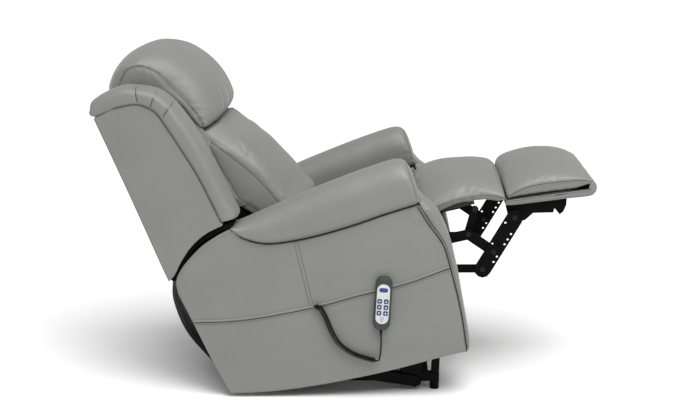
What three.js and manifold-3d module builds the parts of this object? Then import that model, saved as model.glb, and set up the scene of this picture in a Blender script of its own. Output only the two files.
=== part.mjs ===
// Lift recliner chair with tilt in space, legrest, reclining back and a corded handset.
// Millimetres, +Z up, the chair faces -Y, +X is the sitter's left.
// Rest pose: the seat unit tilted fully back, the legrest out, the backrest upright.
import * as THREE from "three";
import * as BufferGeometryUtils from "three/addons/utils/BufferGeometryUtils.js";
import Module from "manifold-3d";

const wasm = await Module();
wasm.setup();

// ---- driving dimensions -------------------------------------------------------------
const TILT = 14 * Math.PI / 180;   // lean of the seat unit in the rest pose
const BODY_RISE = 15;              // seat unit above the floor when level, added to its own heights
const CENTRE_Y = 10;               // shift that puts the origin at the middle of the length
const OUTER_X = 400;               // outer face of the side panels
const PANEL_T = 24;                // thickness of an outer side panel
const ARM_INNER_X = 252;           // inner face of the arms
const SEAT_X = 247;                // half width between the arms
const WING_INNER_X = 262;          // inner face of the back's side wings
const PIVOT = [181, 290];          // recline pivot, level y and z
const RAIL_X = 290;                // centre of the base side rails
const RAIL = 27;                   // square side rail
const RAIL_Z = 26;                 // underside of the side rail
const PLATE = 6;                   // thickness of a link plate
const LANE_L1 = 241;               // inner faces of the link lanes
const LANE_B = 234.5;
const LANE_C = 228;
const LANE_BRACKET = 221.5;
const LANE_A = 215;

// Legrest pivots in the seat unit's level frame (y, z).
const F1 = [-367.2, 368.8], F2 = [-333.5, 286.0];
const P2 = [-490.1, 248.6], P3 = [-472.1, 367.4], P4 = [-536.3, 295.9];
const P5 = [-624.3, 386.0], P6 = [-510.0, 436.0];

// Base and lift pivots, floor frame (y, z) before the shift by CENTRE_Y.
const LIFT_REAR = [200, 84], LIFT_FRONT = [-201, 31], TILT_PIVOT = [49.8, 85];
const LIFT_MOTOR = [300, 75], LIFT_ROD = [-8, 80];

// The tilt pivot and the back's actuator in the seat unit's level frame.
const TILT_LEVEL = [27.8, 79.5], BACK_MOTOR = [-130, 330], BACK_ROD = [200, 375];

// ---- materials ----------------------------------------------------------------------
const surface = (color, roughness, metalness = 0) => () =>
  new THREE.MeshStandardMaterial({ color, roughness, metalness });
const leather = surface(0x9aa098, 0.55);
const leatherDark = surface(0x6d716c, 0.6);
const blackSteel = surface(0x1b1c1e, 0.5, 0.6);
const steel = surface(0x8d9094, 0.35, 0.9);
const timber = surface(0xb08d5e, 0.7);
const rubber = surface(0x16171a, 0.85);
const plastic = surface(0x34373b, 0.45);
const buttonBlue = surface(0x25356b, 0.4);

// ---- helpers ------------------------------------------------------------------------
function add(parent, name, geometry, material) {
  const mesh = new THREE.Mesh(geometry, material());
  mesh.name = name;
  parent.add(mesh);
  return mesh;
}

// Turns a shape drawn in (y, z) and extruded along its own Z into one extruded along X.
function alongX(geometry, x0) {
  const m = new THREE.Matrix4().set(0, 0, 1, x0, 1, 0, 0, 0, 0, 1, 0, 0, 0, 0, 0, 1);
  return geometry.applyMatrix4(m);
}

function polygon(y, z, radius, sides) {
  return Array.from({ length: sides }, (_, k) => new THREE.Vector2(
    y + radius * Math.cos(k * 2 * Math.PI / sides), z + radius * Math.sin(k * 2 * Math.PI / sides)));
}

function outline(points, holes = []) {
  const shape = new THREE.Shape(points.map(([y, z]) => new THREE.Vector2(y, z)));
  for (const [y, z, r] of holes) {
    shape.holes.push(new THREE.Path(polygon(y, z, r, 16)));
  }
  return shape;
}

// A (y, z) outline between two x values; bevel rounds the two side edges inwards.
function slab(points, x0, x1, bevel = 0, holes = []) {
  const geometry = new THREE.ExtrudeGeometry(outline(points, holes), {
    depth: x1 - x0 - 2 * bevel, bevelEnabled: bevel > 0, bevelThickness: bevel,
    bevelSize: bevel, bevelOffset: -bevel, bevelSegments: 3, steps: 1, curveSegments: 8,
  });
  return alongX(geometry, x0 + bevel);
}

// The same slab on the left (+1) or right (-1) side of the chair.
function sideSlab(side, points, near, far, bevel = 0, holes = []) {
  return side > 0 ? slab(points, near, far, bevel, holes) : slab(points, -far, -near, bevel, holes);
}

function box(x0, x1, y0, y1, z0, z1) {
  const geometry = new THREE.BoxGeometry(x1 - x0, y1 - y0, z1 - z0);
  return geometry.translate((x0 + x1) / 2, (y0 + y1) / 2, (z0 + z1) / 2);
}

function sideBox(side, near, far, y0, y1, z0, z1) {
  return side > 0 ? box(near, far, y0, y1, z0, z1) : box(-far, -near, y0, y1, z0, z1);
}

// A round bar between two points [x, y, z].
function bar(a, b, radius, sides = 16) {
  const from = new THREE.Vector3(...a), to = new THREE.Vector3(...b);
  const geometry = new THREE.CylinderGeometry(radius, radius, from.distanceTo(to), sides);
  const turn = new THREE.Quaternion().setFromUnitVectors(
    new THREE.Vector3(0, 1, 0), to.clone().sub(from).normalize());
  geometry.applyQuaternion(turn);
  return geometry.translate(...from.add(to).multiplyScalar(0.5).toArray());
}

// A flat link: the rounded outline around a chain of (y, z) points.
function linkOutline(points, radius) {
  const left = [], right = [];
  const n = points.length;
  const heading = points.slice(1).map((p, i) => Math.atan2(p[1] - points[i][1], p[0] - points[i][0]));
  for (let i = 0; i < n; i++) {
    const before = heading[Math.max(i - 1, 0)], after = heading[Math.min(i, n - 2)];
    const mean = (before + after) / 2, reach = radius / Math.cos((after - before) / 2);
    left.push([points[i][0] - reach * Math.sin(mean), points[i][1] + reach * Math.cos(mean)]);
    right.push([points[i][0] + reach * Math.sin(mean), points[i][1] - reach * Math.cos(mean)]);
  }
  const cap = (centre, start) => [1, 2, 3, 4, 5].map((k) => {
    const a = start - k * Math.PI / 6;
    return [centre[0] + radius * Math.cos(a), centre[1] + radius * Math.sin(a)];
  });
  return [...left, ...cap(points[n - 1], heading[n - 2] + Math.PI / 2),
    ...right.reverse(), ...cap(points[0], heading[0] - Math.PI / 2)];
}

function link(side, points, lane, radius, pins, pinRadius = 5.2, lightening = []) {
  const bores = pins.map(([y, z]) => [y, z, pinRadius]);
  return sideSlab(side, linkOutline(points, radius), lane, lane + PLATE, 0, [...bores, ...lightening]);
}

// Small holes beside the line from a to b: distances along it, offset to its side.
function besides(a, b, distances, offset, radius) {
  const length = Math.hypot(b[0] - a[0], b[1] - a[1]);
  const u = [(b[0] - a[0]) / length, (b[1] - a[1]) / length];
  return distances.map((t) => [a[0] + u[0] * t - u[1] * offset, a[1] + u[1] * t + u[0] * offset, radius]);
}

function solid(geometry) {
  const plain = new THREE.BufferGeometry();
  plain.setAttribute("position", geometry.getAttribute("position").clone());
  if (geometry.index) plain.setIndex(geometry.index.clone());
  const merged = BufferGeometryUtils.mergeVertices(plain, 1e-4);
  return new wasm.Manifold(new wasm.Mesh({
    numProp: 3,
    vertProperties: new Float32Array(merged.getAttribute("position").array),
    triVerts: new Uint32Array(merged.index.array),
  }));
}

function joined(...geometries) {
  return fromSolid(geometries.map(solid).reduce((a, b) => a.add(b)));
}

function fromSolid(body) {
  const mesh = body.getMesh();
  const geometry = new THREE.BufferGeometry();
  geometry.setAttribute("position", new THREE.BufferAttribute(mesh.vertProperties, 3));
  geometry.setIndex(new THREE.BufferAttribute(mesh.triVerts, 1));
  geometry.computeVertexNormals();
  return geometry;
}

// A padded roll: rounded-rectangle rings at stations along one direction, closed at the ends.
// ring(t) gives [u0, u1, v0, v1, w]; place(u, v, w) gives [x, y, z].
function padded(stations, ring, place, power = 3.2, count = 20) {
  const position = [], index = [];
  for (const station of stations) {
    const [u0, u1, v0, v1, w] = ring(station);
    for (let k = 0; k < count; k++) {
      const a = (k + 0.5) * 2 * Math.PI / count, c = Math.cos(a), s = Math.sin(a);
      const r = 1 / Math.pow(Math.abs(c) ** power + Math.abs(s) ** power, 1 / power);
      position.push(...place((u0 + u1) / 2 + r * c * (u1 - u0) / 2, (v0 + v1) / 2 + r * s * (v1 - v0) / 2, w));
    }
  }
  const rings = stations.length;
  for (let i = 0; i + 1 < rings; i++) {
    for (let k = 0; k < count; k++) {
      const a = i * count + k, b = i * count + (k + 1) % count;
      index.push(a, b, b + count, a, b + count, a + count);
    }
  }
  for (let k = 1; k + 1 < count; k++) {
    index.push(0, k + 1, k);
    const last = (rings - 1) * count;
    index.push(last, last + k, last + k + 1);
  }
  const geometry = new THREE.BufferGeometry();
  geometry.setAttribute("position", new THREE.Float32BufferAttribute(position, 3));
  geometry.setIndex(index);
  geometry.computeVertexNormals();
  return outward(geometry);
}

// A seat pad: low and high are (y, z) lines, half is half its width.
function cushion(low, high, half) {
  const ring = (y) => [-half, half, along(low, y), along(high, y), y];
  return padded(high.map(([y]) => y), ring, (x, z, y) => [x, y, z], 5, 24);
}

// Reverses the winding when the faces point inwards.
function outward(geometry) {
  const p = geometry.getAttribute("position"), order = geometry.index.array;
  const a = new THREE.Vector3(), b = new THREE.Vector3(), c = new THREE.Vector3();
  let volume = 0;
  for (let i = 0; i < order.length; i += 3) {
    a.fromBufferAttribute(p, order[i]);
    b.fromBufferAttribute(p, order[i + 1]);
    c.fromBufferAttribute(p, order[i + 2]);
    volume += a.dot(b.cross(c));
  }
  if (volume < 0) {
    for (let i = 0; i < order.length; i += 3) [order[i], order[i + 1]] = [order[i + 1], order[i]];
    geometry.computeVertexNormals();
  }
  return geometry;
}

// The value at t of a line through (key, value) points.
function along(table, t) {
  const i = Math.min(Math.max(table.findIndex(([key]) => key >= t), 1), table.length - 1);
  const [k0, v0] = table[i - 1], [k1, v1] = table[i];
  return v0 + (v1 - v0) * (t - k0) / (k1 - k0);
}

function arc(centre, radius, from, to, steps) {
  return Array.from({ length: steps + 1 }, (_, k) => {
    const a = (from + (to - from) * k / steps) * Math.PI / 180;
    return [centre[0] + radius * Math.cos(a), centre[1] + radius * Math.sin(a)];
  });
}

const SIDES = [["left", 1], ["right", -1]];

// ---- base on the floor --------------------------------------------------------------
function buildBase(parent) {
  const x0 = RAIL_X - RAIL / 2, x1 = RAIL_X + RAIL / 2;
  for (const [name, side] of SIDES) {
    const feet = [-263, 318].map((y) => bar([side * RAIL_X, y, 0], [side * RAIL_X, y, RAIL_Z + 0.6], 14.5));
    add(parent, `base_side_${name}`, joined(
      sideBox(side, x0, x1, -278, 334, RAIL_Z, RAIL_Z + RAIL),
      ...feet,
      sideSlab(side, [[-277, 50], [-252, 50], [-256, 118], [-280, 118]], RAIL_X - 11, RAIL_X + 11),
      sideSlab(side, [[168, 50], [232, 50], [216, 96], [184, 96]], x0, x1),
    ), blackSteel);
  }
  const span = x0 - 0.4;
  add(parent, "base_cross_front", box(-span, span, -243, -218, RAIL_Z + 1, RAIL_Z + 26), blackSteel);
  add(parent, "base_cross_rear", box(-span, span, 296, 321, RAIL_Z + 1, RAIL_Z + 26), blackSteel);
}

// ---- lift arms and carriage ---------------------------------------------------------
function buildLift(parent) {
  for (const [name, side] of SIDES) {
    add(parent, `lift_arm_${name}`, link(side,
      [LIFT_REAR, [100, 74], LIFT_FRONT], 314, 17, [LIFT_REAR, LIFT_FRONT], 6), blackSteel);
    add(parent, `carriage_side_${name}`, sideSlab(side,
      [[-223, 31], [-217, 16], [-201, 9], [-185, 16], [-179, 31], [-150, 72], [88, 72],
        [88, 104], [-215, 112], [-225, 96]],
      307, 313, 0, [[...LIFT_FRONT, 6], [...TILT_PIVOT, 6]]), steel);
  }
  add(parent, "lift_arm_cross", bar([-313.6, 15, 61.9], [313.6, 15, 61.9], 7.5), blackSteel);
  add(parent, "carriage_cross_front", box(-306.6, 306.6, -212, -188, 84, 108), blackSteel);
  add(parent, "carriage_cross_rear", box(-306.6, 306.6, -20, 4, 68, 92), blackSteel);
  buildActuator(parent, "lift", LIFT_MOTOR, LIFT_ROD, 31);
}

// An electric actuator from its pivot (y, z) to the far end of its rod, on the middle plane:
// motor block and tube with a bore, and the rod that slides in it.
function buildActuator(parent, name, pivot, end, clear) {
  const length = Math.hypot(end[0] - pivot[0], end[1] - pivot[1]);
  const u = [(end[0] - pivot[0]) / length, (end[1] - pivot[1]) / length];
  const at = (t) => [0, pivot[0] + u[0] * t, pivot[1] + u[1] * t];
  const block = new THREE.BoxGeometry(62, 92, 46);
  block.rotateX(Math.atan2(u[1], u[0])).translate(...at(58));
  const body = solid(block).add(solid(bar(at(8), at(length * 0.62), 17))).subtract(
    solid(bar(at(96), at(length * 0.62 + 5), 10.6)));
  add(parent, `${name}_motor`, fromSolid(body), blackSteel);
  add(parent, `${name}_rod`, bar(at(100), at(length - clear), 10), steel);
}

// ---- seat frame ---------------------------------------------------------------------
function buildSeatFrame(parent) {
  const plate = [[-392, 345], [-392, 392], [-330, 440], [190, 440], [210, 300], [196, 262],
    [75, 262], [52, 84], [46, 62], [28, 56], [10, 62], [4, 84], [-20, 262], [-352, 262]];
  for (const [name, side] of SIDES) {
    const pivots = [[...F1, 5.2], [...F2, 5.2], [...PIVOT, 7]];
    add(parent, `mechanism_plate_${name}`, joined(
      sideSlab(side, plate, 247.5, 251.5, 0, pivots),
      bar([side * 250, ...TILT_LEVEL], [side * 306.5, ...TILT_LEVEL], 11)), blackSteel);
  }
  add(parent, "seat_deck", slab([[-348, 446], [-348, 396], [-308, 396], [-308, 426], [130, 391],
    [130, 404]], -SEAT_X, SEAT_X), timber);
  buildActuator(parent, "back", BACK_MOTOR, BACK_ROD, 14);
  add(parent, "seat_cushion", cushion([[-345, 449], [125, 409]],
    [[-345, 545], [-310, 560], [-200, 548], [-70, 525], [60, 505], [118, 486], [125, 470]],
    SEAT_X), leather);
}

// ---- arms ---------------------------------------------------------------------------
const REAR_TOP = [[411, 337], [433, 445], [428, 471], [404, 501], [356, 538], [300, 569], [219, 590]];
const ROLL_SEAM = [[216, 588], [200, 560], [166, 535], [116, 516], [37, 507], [-50, 506],
  [-153, 512], [-256, 522], [-341, 528]];
const ROLL_TOP = [[-349, 600], [-342, 637], [-335, 655], [-318, 667], [-278, 668], [-166, 658],
  [-4, 635], [162, 604], [215, 594]];
const FRONT_SEAM = [[70, -388], [181, -397], [300, -397], [391, -392], [467, -363], [527, -344]];
const FRONT_FACE = [[51, -391], [91, -404], [175, -409], [292, -416], [376, -416], [439, -410],
  [491, -396], [542, -354]];

function buildArms(parent) {
  const frontEdge = FRONT_SEAM.map(([z, y]) => [y, z]).reverse();
  const panel = [...frontEdge, [-379, 47], [-277, 46], [-160, 42], [-36, 43], [87, 48], [209, 59],
    [357, 87], [382, 190], ...REAR_TOP, ...ROLL_SEAM];
  const frame = [...frontEdge.slice(0, 4), [-397, 226], [388, 226], ...REAR_TOP, ...ROLL_SEAM];
  const seam = ROLL_SEAM.slice().reverse();
  for (const [name, side] of SIDES) {
    add(parent, `arm_panel_${name}`, sideSlab(side, panel, OUTER_X - PANEL_T, OUTER_X), leather);
    add(parent, `arm_frame_${name}`, sideSlab(side, frame, ARM_INNER_X, OUTER_X - PANEL_T - 0.4), timber);
    const roll = (y) => {
      const end = y < -330 ? 0.86 : 1;
      const low = along(seam, Math.max(y, -341)) + 0.6, high = along(ROLL_TOP, y);
      return [331 - 80 * end, 331 + 81 * end, low, low + (high - low) * end, y];
    };
    const stations = [-347, -341, -318, -256, -153, -50, 37, 116, 166, 200, 208];
    add(parent, `arm_roll_${name}`, padded(stations, roll, (x, z, y) => [side * x, y, z]), leather);
    const facing = (z) => {
      const end = z < 60 || z > 530 ? 0.9 : 1;
      const back = along(FRONT_SEAM, Math.max(z, 70)) - 0.8, front = along(FRONT_FACE, z);
      return [327 - 74 * end, 327 + 74 * end, back + (front - back) * end, back, z];
    };
    const heights = [52, 70, 120, 181, 240, 300, 391, 430, 467, 500, 526];
    add(parent, `arm_facing_${name}`, padded(heights, facing, (x, y, z) => [side * x, y, z], 5), leather);
  }
}

// ---- backrest -----------------------------------------------------------------------
function buildBackrest(parent) {
  const wing = [[224, 776], [193, 625], [239, 608], [294, 594], [342, 571], [391, 532], [421, 500],
    [438, 488], [441, 506], [483, 777], [521, 1026], [520, 1065], [445, 1084], [394, 1074],
    [357, 1060], [324, 1039], [296, 1002], [272, 950], [247, 879]];
  for (const [name, side] of SIDES) {
    add(parent, `back_wing_${name}`, sideSlab(side, wing, WING_INNER_X, OUTER_X - 2, 6), leather);
    add(parent, `back_bracket_${name}`, sideSlab(side, [[158, 278], [168, 264], [194, 264], [206, 280],
      [290, 590], [190, 612], [150, 420]], LANE_L1, LANE_L1 + PLATE, 0, [[...PIVOT, 7]]), blackSteel);
  }
  add(parent, "back_cross", bar([-240.6, ...BACK_ROD], [240.6, ...BACK_ROD], 12), blackSteel);
  add(parent, "outside_back", slab([[442, 506], [454, 502], [496, 775], [534, 1023], [522, 1025],
    [484, 776]], -OUTER_X + 2, OUTER_X - 2), leather);
  add(parent, "back_frame", slab([...arc(PIVOT, 337, 42, 92, 6), [176, 640], [214, 752], [262, 892],
    [304, 986], [350, 1036], [420, 1050], [516, 1030], [481, 778]], -246, 246), timber);
  add(parent, "lumbar_cushion", slab([[66, 545], [120, 620], [168, 645], [207, 753], [254, 890],
    [205, 893], [150, 860], [121, 835], [91, 800], [67, 764], [42, 721], [19, 682], [-2, 634],
    [-24, 592], [-12, 560], [30, 540]], -SEAT_X, SEAT_X, 20), leather);
  add(parent, "head_cushion", slab([[260, 900], [299, 992], [346, 1042], [420, 1056], [534, 1034],
    [522, 1083], [490, 1125], [441, 1160], [387, 1174], [338, 1170], [270, 1140], [211, 1082],
    [178, 1019], [166, 948], [175, 913], [193, 898]], -255, 255, 22), leather);
}

// ---- legrest ------------------------------------------------------------------------
function buildLegrest(parent) {
  for (const [name, side] of SIDES) {
    add(parent, `leg_drive_link_${name}`, link(side, [F1, P3, P4], LANE_B, 16, [F1, P3, P4]), blackSteel);
    add(parent, `leg_lower_link_${name}`, link(side, [F2, P2], LANE_C, 13, [F2, P2]), blackSteel);
    const holes = [
      ...besides(P4, P5, [-28, -8, 38, 56, 76], 17, 3.6),
      ...besides(P4, P5, [20, 98], -17, 3.6)];
    add(parent, `leg_long_link_${name}`,
      link(side, [P2, P4, P5], LANE_L1, 26, [P2, P4, P5], 5.2, holes), blackSteel);
    add(parent, `leg_flap_link_${name}`, link(side, [P3, P6], LANE_A, 12, [P3, P6]), blackSteel);
    add(parent, `footrest_bracket_${name}`, sideSlab(side, [[-606, 428], [-796, 406.5], [-790, 385],
      [-776, 366], [-763, 360], [-752, 383], [-745, 371], [-684, 384], [-655, 368], [-606, 368]],
    LANE_BRACKET, LANE_BRACKET + PLATE, 0, [[...P5, 5.2]]), blackSteel);
  }
  add(parent, "footrest_board", slab([[-611, 448], [-612, 430], [-858, 401], [-878, 405], [-882, 411],
    [-876, 418]], -245, 245), leatherDark);
  add(parent, "footrest_pad", cushion([[-884, 424], [-612, 452]],
    [[-884, 452], [-865, 481], [-845, 510], [-808, 531], [-760, 544], [-716, 549], [-669, 549],
      [-631, 544], [-613, 530]], 250), leather);
  add(parent, "flap_board", box(-213, 213, -514, -386, 452, 464), timber);
  add(parent, "chaise_pad", cushion([[-607, 467], [-350, 467]],
    [[-607, 524], [-594, 541], [-552, 559], [-504, 572], [-455, 582], [-413, 581], [-374, 571],
      [-350, 552]], SEAT_X), leather);
}

// ---- rear apron ---------------------------------------------------------------------
function buildApron(parent) {
  const rear = [[470, 449], [489, 379], [474, 271], [417, 146]];
  const front = rear.map(([y, z]) => [y - 8, z]).reverse();
  add(parent, "rear_apron", slab([...rear, ...front], -236, 236), leatherDark);
}

// ---- handset ------------------------------------------------------------------------
// Drawn upright: x across, y deep, z up, front face towards -Y; then turned to face -X.
const HANDSET = { width: 52, height: 166, depth: 23, x: -404, y: -100, z: 310, lean: 3.4 };
const KEY = { half: 6.8, pitchX: 20, pitchZ: 18.5, top: 9, rise: 2.2, well: 1.9 };

// A rounded rectangle about (x, z) as shape points.
function roundedRect(x, z, halfX, halfZ, radius, steps = 4) {
  const corners = [[1, 1], [-1, 1], [-1, -1], [1, -1]];
  return corners.flatMap(([sx, sz], quarter) => Array.from({ length: steps + 1 }, (_, k) => {
    const a = (quarter + k / steps) * Math.PI / 2;
    return new THREE.Vector2(x + sx * (halfX - radius) + radius * Math.cos(a),
      z + sz * (halfZ - radius) + radius * Math.sin(a));
  }));
}

// A flat piece drawn in (x, z), from depth back to depth front.
function facePlate(points, back, front, bevel = 0) {
  const geometry = new THREE.ExtrudeGeometry(new THREE.Shape(points), {
    depth: front - back - 2 * bevel, bevelEnabled: bevel > 0, bevelThickness: bevel,
    bevelSize: bevel, bevelOffset: -bevel, bevelSegments: 2,
  });
  return geometry.rotateX(Math.PI / 2).translate(0, -back - bevel, 0);
}

function buildHandset(parent) {
  const w = HANDSET.width / 2, h = HANDSET.height / 2, d = HANDSET.depth;
  const shell = facePlate(roundedRect(0, 0, w, h, 20), 0, d, 3);
  const relief = bar([0, -11, -h + 2], [0, -11, -h - 18], 5.5, 12);
  let body = solid(shell).add(solid(relief));
  for (let row = 0; row < 3; row++) {
    for (let column = 0; column < 2; column++) {
      const at = [(column - 0.5) * KEY.pitchX, KEY.top - row * KEY.pitchZ];
      const well = roundedRect(...at, KEY.half + 0.5, KEY.half + 0.5, 2.2);
      body = body.subtract(solid(facePlate(well, d - KEY.well, d + 1)));
      add(parent, `button_${row + 1}_${column + 1}`, facePlate(
        roundedRect(...at, KEY.half, KEY.half, 1.8), d - 0.3, d + KEY.rise), buttonBlue);
    }
  }
  add(parent, "handset", fromSolid(body), plastic);
}

// A round cord along points [x, y, z], closed at both ends.
function cord(points, radius, steps) {
  const path = new THREE.CatmullRomCurve3(points.map((p) => new THREE.Vector3(...p)), false, "centripetal");
  const round = new THREE.Shape(polygon(0, 0, radius, radius < 4 ? 8 : 12));
  const geometry = new THREE.ExtrudeGeometry(round, { steps, extrudePath: path });
  return outward(BufferGeometryUtils.mergeVertices(bare(geometry), 1e-4));
}

function bare(geometry) {
  geometry.deleteAttribute("normal");
  geometry.deleteAttribute("uv");
  return geometry;
}

function buildCord(parent) {
  const coil = [[110, 300], [91, 293], [75, 266], [55, 217], [33, 181], [-1, 154], [-40, 138], [-82, 127]];
  const lead = [[-89.5, 131], [-92.5, 150], [-95, 180], [-94, 206]];
  add(parent, "handset_cord", cord(coil.map(([y, z]) => [-413, y, z]), 6.5, 24), rubber);
  add(parent, "handset_lead", cord(lead.map(([y, z], i) => [i < 2 ? -413 : -415, y, z]), 2, 20), rubber);
}

// ---- assembly -----------------------------------------------------------------------
const group = new THREE.Group();
const floorFrame = new THREE.Group();
floorFrame.position.y = -CENTRE_Y;
const tilted = new THREE.Group();
tilted.rotation.x = -TILT;
const seatUnit = new THREE.Group();
seatUnit.position.z = BODY_RISE;
const handset = new THREE.Group();
handset.position.set(HANDSET.x, HANDSET.y, HANDSET.z);
handset.rotation.set(HANDSET.lean * Math.PI / 180, 0, -Math.PI / 2);
group.add(floorFrame);
floorFrame.add(tilted, handset);
tilted.add(seatUnit);

buildBase(floorFrame);
buildLift(floorFrame);
buildSeatFrame(seatUnit);
buildArms(seatUnit);
buildBackrest(seatUnit);
buildLegrest(seatUnit);
buildApron(seatUnit);
buildHandset(handset);
buildCord(floorFrame);

export default group;
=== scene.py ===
"""Looks of the lift recliner chair: leather upholstery, steelwork, handset and curly cord.

Every piece is built in the CAD's frame, in metres. Outlines are written in millimetres in the
seat unit's level frame (y to the rear, z up) and turned by its lean with level().
"""

import math

import bpy
import numpy as np
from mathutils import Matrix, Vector
from mathutils.bvhtree import BVHTree
from mathutils.geometry import tessellate_polygon


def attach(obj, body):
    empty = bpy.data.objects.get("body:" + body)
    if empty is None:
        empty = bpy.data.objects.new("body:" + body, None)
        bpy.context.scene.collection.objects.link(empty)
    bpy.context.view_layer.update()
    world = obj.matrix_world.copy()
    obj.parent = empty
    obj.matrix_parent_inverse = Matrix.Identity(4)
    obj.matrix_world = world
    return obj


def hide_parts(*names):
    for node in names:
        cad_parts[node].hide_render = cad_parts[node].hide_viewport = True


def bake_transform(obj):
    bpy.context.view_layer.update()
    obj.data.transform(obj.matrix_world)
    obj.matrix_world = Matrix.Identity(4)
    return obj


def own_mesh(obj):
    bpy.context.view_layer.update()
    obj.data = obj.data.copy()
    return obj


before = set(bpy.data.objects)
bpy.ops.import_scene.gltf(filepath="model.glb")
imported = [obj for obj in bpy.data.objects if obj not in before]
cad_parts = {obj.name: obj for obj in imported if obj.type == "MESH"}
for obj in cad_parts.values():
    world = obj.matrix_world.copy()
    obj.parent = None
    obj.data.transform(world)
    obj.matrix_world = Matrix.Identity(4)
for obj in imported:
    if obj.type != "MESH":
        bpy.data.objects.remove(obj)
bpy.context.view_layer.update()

# ---- driving dimensions, millimetres ---------------------------------------------------
LEAN = math.radians(14)        # lean of the seat unit at rest
RISE = 15                      # seat unit's own floor above the floor
CENTRE_Y = 10                  # shift between the floor frame and the row frame
OUTER_X = 400                  # outer face of the side panels
ARM_INNER_X = 252              # inner face of the arms
WING_INNER_X = 262             # inner face of the wings
ROLL_X = 331                   # middle of the arm rolls and wing strips
PIVOT = (181, 290)             # recline pivot
SIDES = (("left", 1), ("right", -1))
SIM_FRAMES = 16                # steps of the cloth simulation that fills the cushions
SIM_VOXEL = 0.0055             # mesh size of a simulated cushion, metres
SIM_PRESSURE = 4.0
LEATHER_LIT = (0.163, 0.166, 0.150)
LEATHER_DARK = (0.022, 0.023, 0.024)


# ---- frames and curves -----------------------------------------------------------------
def floor_point(x, y, z):
    """A point of the floor frame in millimetres, in the row frame in metres."""
    return np.array([x, y - CENTRE_Y, z]) / 1000


def level(x, y, z):
    """A point of the seat unit's level frame (arrays allowed), in the row frame in metres."""
    up = np.asarray(z, float) + RISE
    y, x = np.asarray(y, float), np.asarray(x, float)
    wy = y * math.cos(LEAN) + up * math.sin(LEAN)
    wz = -y * math.sin(LEAN) + up * math.cos(LEAN)
    return np.stack(np.broadcast_arrays(x, wy - CENTRE_Y, wz), -1) / 1000


def spline(points, count):
    """count points at equal steps along a smooth line through points of any dimension."""
    p = np.asarray(points, float)
    if len(p) > 2:
        ext = np.vstack([2 * p[0] - p[1], p, 2 * p[-1] - p[-2]])
        fine = []
        for i in range(1, len(ext) - 2):
            a, b, c, d = ext[i - 1:i + 3]
            t = np.linspace(0, 1, 24, endpoint=False)[:, None]
            fine.append(0.5 * (2 * b + (c - a) * t + (2 * a - 5 * b + 4 * c - d) * t ** 2
                               + (3 * b - a - 3 * c + d) * t ** 3))
        p = np.vstack(fine + [p[-1:]])
    step = np.r_[0, np.cumsum(np.linalg.norm(np.diff(p, axis=0), axis=1))]
    at = np.linspace(0, step[-1], count)
    return np.stack([np.interp(at, step, p[:, k]) for k in range(p.shape[1])], -1)


def ease(t):
    """Smooth step from 0 to 1."""
    t = np.clip(t, 0, 1)
    return t * t * (3 - 2 * t)


def bump(distance, width):
    """A bell-shaped rise of height 1."""
    return np.exp(-(distance / width) ** 2)


def distance_to(line, points):
    """Distance from points to a polyline, and how far along it the nearest place is."""
    line, points = np.asarray(line, float), np.asarray(points, float)
    flat = points.reshape(-1, points.shape[-1])
    best, where, travelled = np.full(len(flat), 1e9), np.zeros(len(flat)), 0.0
    for a, b in zip(line[:-1], line[1:]):
        d = b - a
        size = float(np.linalg.norm(d))
        t = np.clip(((flat - a) @ d) / max(size * size, 1e-12), 0, 1)
        gap = np.linalg.norm(flat - a - t[:, None] * d, axis=1)
        nearer = gap < best
        best[nearer] = gap[nearer]
        where[nearer] = travelled + t[nearer] * size
        travelled += size
    return best.reshape(points.shape[:-1]), where.reshape(points.shape[:-1])


def pairs(y, z):
    return np.stack([y, z], -1)


def waves(s, seed, period, octaves=3):
    """Smooth uneven ripples along s in millimetres, between about -1 and 1."""
    rng = np.random.default_rng(seed)
    total = np.zeros_like(np.asarray(s, float))
    for k in range(octaves):
        wavelength = period * (0.62 ** k) * rng.uniform(0.85, 1.2)
        total += np.sin(2 * np.pi * s / wavelength + rng.uniform(0, 6.28)) / (1 + k)
    return total / 1.6


# ---- mesh building ---------------------------------------------------------------------
def mesh_object(name, verts, faces, material, smooth=True):
    data = bpy.data.meshes.new(name)
    data.from_pydata([tuple(v) for v in np.asarray(verts, float)], [], [tuple(f) for f in faces])
    data.update()
    piece = bpy.data.objects.new(name, data)
    bpy.context.scene.collection.objects.link(piece)
    data.materials.append(material)
    if smooth:
        data.shade_smooth()
    face_out(piece)
    return piece


def face_out(piece):
    """Turns the faces of a closed mesh outwards."""
    data = piece.data
    data.calc_loop_triangles()
    co = np.array([v.co for v in data.vertices])
    tri = np.array([t.vertices for t in data.loop_triangles])
    a, b, c = co[tri[:, 0]], co[tri[:, 1]], co[tri[:, 2]]
    if np.einsum("ij,ij->i", a, np.cross(b, c)).sum() < 0:
        data.flip_normals()


def loft(name, rings, material):
    """A skin over rings (count, points, 3), capped at both ends."""
    rings = np.asarray(rings, float)
    n, m = rings.shape[:2]
    verts, faces = rings.reshape(-1, 3), []
    for i in range(n - 1):
        for k in range(m):
            q = (k + 1) % m
            faces.append((i * m + k, i * m + q, (i + 1) * m + q, (i + 1) * m + k))
    for ring in (0, n - 1):
        centre = len(verts)
        verts = np.vstack([verts, rings[ring].mean(0)])
        for k in range(m):
            edge = (ring * m + k, ring * m + (k + 1) % m)
            faces.append((edge if ring else edge[::-1]) + (centre,))
    return mesh_object(name, verts, faces, material)


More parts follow.
